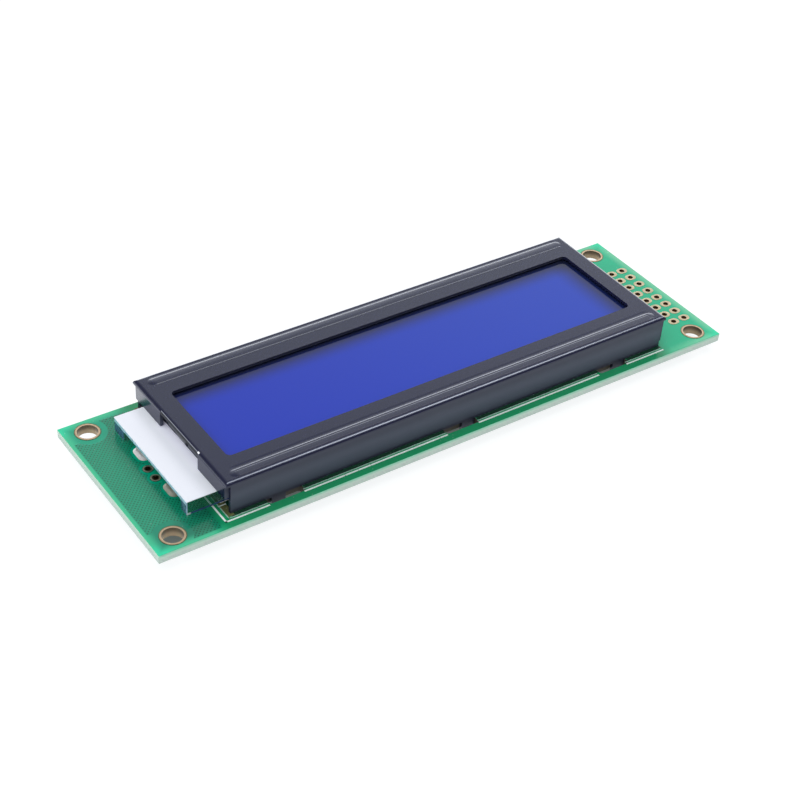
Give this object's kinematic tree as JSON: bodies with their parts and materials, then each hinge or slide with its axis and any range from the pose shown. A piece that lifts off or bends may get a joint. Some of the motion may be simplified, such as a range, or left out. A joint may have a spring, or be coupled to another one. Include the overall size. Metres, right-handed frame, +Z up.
{
  "type": "character lcd module",
  "caption": "Character LCD module: green circuit board with a black sheet bezel round a blue screen, a side-lit backlight, corner mounting holes and plated interface holes.",
  "frame": {"origin": "on the resting plane, which holds the lower ends of the bezel's tabs, under the middle of the board", "axes": "+X along the board to the interface holes, +Y to the back edge, +Z up through the face of the display"},
  "size_m": [0.116, 0.035, 0.0101],
  "materials": {
    "solder_mask": "green solder mask over glass fibre board",
    "plating": "plated copper",
    "solder": "bright solder",
    "clear_plastic": "clear, polished",
    "white_film": "matte white film",
    "lamp_body": "matte white",
    "lamp_phosphor": "yellow phosphor resin",
    "terminal_metal": "tinned",
    "front_polarizer": "glossy blue film",
    "front_glass": "clear",
    "rear_glass": "blue cell",
    "rear_polarizer": "dark film",
    "seal_resin": "cured resin",
    "elastomer": "pink silicone strip",
    "black_paint": "satin black",
    "chip_epoxy": "satin black epoxy",
    "resistor_body": "black glaze, tinned ends",
    "capacitor_body": "tan, tinned ends"
  },
  "bodies": {
    "root": {"circuit_board": "solder_mask", "mount_plating_front_left": "plating", "mount_plating_front_right": "plating", "mount_plating_back_left": "plating", "mount_plating_back_right": "plating", "interface_plating_outer": "plating", "interface_plating_inner": "plating", "backlight_lead_plating": "plating", "backlight_land_front": "plating", "backlight_land_back": "plating", "backlight_solder_front": "solder", "backlight_solder_back": "solder", "light_guide": "clear_plastic", "guide_film": "white_film", "guide_reflector": "white_film", "diffuser": "white_film", "lamp_housing": "lamp_body", "lamp_window": "lamp_phosphor", "lamp_terminal_front": "terminal_metal", "lamp_terminal_back": "terminal_metal", "front_polarizer": "front_polarizer", "front_glass": "front_glass", "rear_glass": "rear_glass", "rear_polarizer": "rear_polarizer", "end_seal": "seal_resin", "contact_strip_front": "elastomer", "contact_strip_back": "elastomer", "bezel": "black_paint", "controller_cap": "chip_epoxy", "driver_cap": "chip_epoxy", "bias_resistor_1": "resistor_body", "bias_resistor_2": "resistor_body", "bias_resistor_3": "resistor_body", "bias_resistor_4": "resistor_body", "bias_resistor_5": "resistor_body", "oscillator_resistor": "resistor_body", "backlight_resistor_1": "resistor_body", "backlight_resistor_2": "resistor_body", "bypass_capacitor_1": "capacitor_body", "bypass_capacitor_2": "capacitor_body"}
  },
  "joints": []
}
